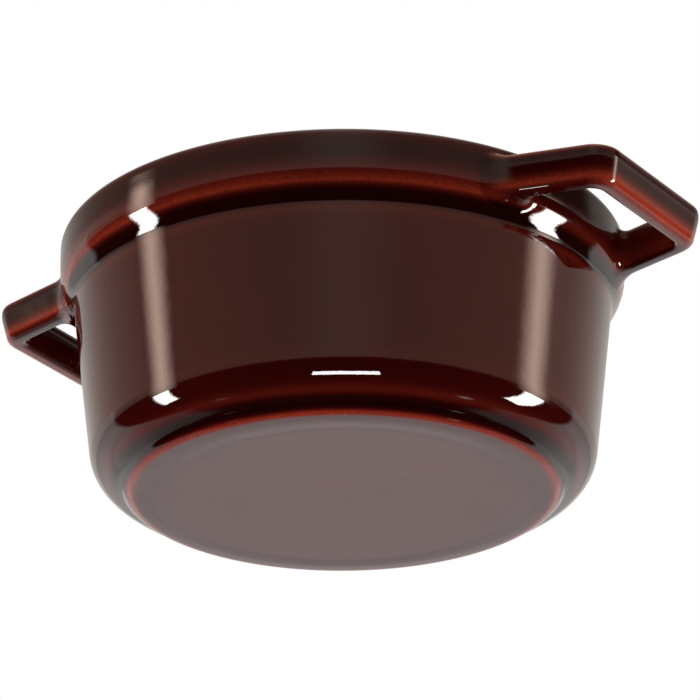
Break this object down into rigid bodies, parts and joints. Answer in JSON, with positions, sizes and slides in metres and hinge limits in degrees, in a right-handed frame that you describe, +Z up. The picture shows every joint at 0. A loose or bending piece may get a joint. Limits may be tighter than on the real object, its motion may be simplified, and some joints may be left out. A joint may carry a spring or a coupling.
{
  "type": "mini cocotte",
  "caption": "Small round lidded pot of enamelled cast iron with cast loop handles, a thick rim band, a proud flat foot and an inset domed lid with a metal knob.",
  "frame": {"origin": "centre of the foot, on the surface that the pot stands on", "axes": "+Z up through the knob, the two handles along X"},
  "size_m": [0.1374, 0.1074, 0.0678],
  "materials": {
    "enamel": "glossy translucent dark red glass enamel on cast iron, thinner and redder along edges",
    "lid_enamel": "glossy translucent dark red glass enamel on cast iron, black matt enamel underneath",
    "knob_metal": "polished nickel plate",
    "fastener_steel": "plain stainless steel"
  },
  "bodies": {
    "pot": {"pot": "enamel"},
    "lid": {"lid": "lid_enamel", "lid_knob": "knob_metal", "knob_washer": "fastener_steel", "knob_screw": "fastener_steel"}
  },
  "joints": [
    {"name": "lid_lift", "type": "slide", "parent": "pot", "child": "lid", "axis": [0, 0, 1], "range_m": [0, 0.06]}
  ]
}
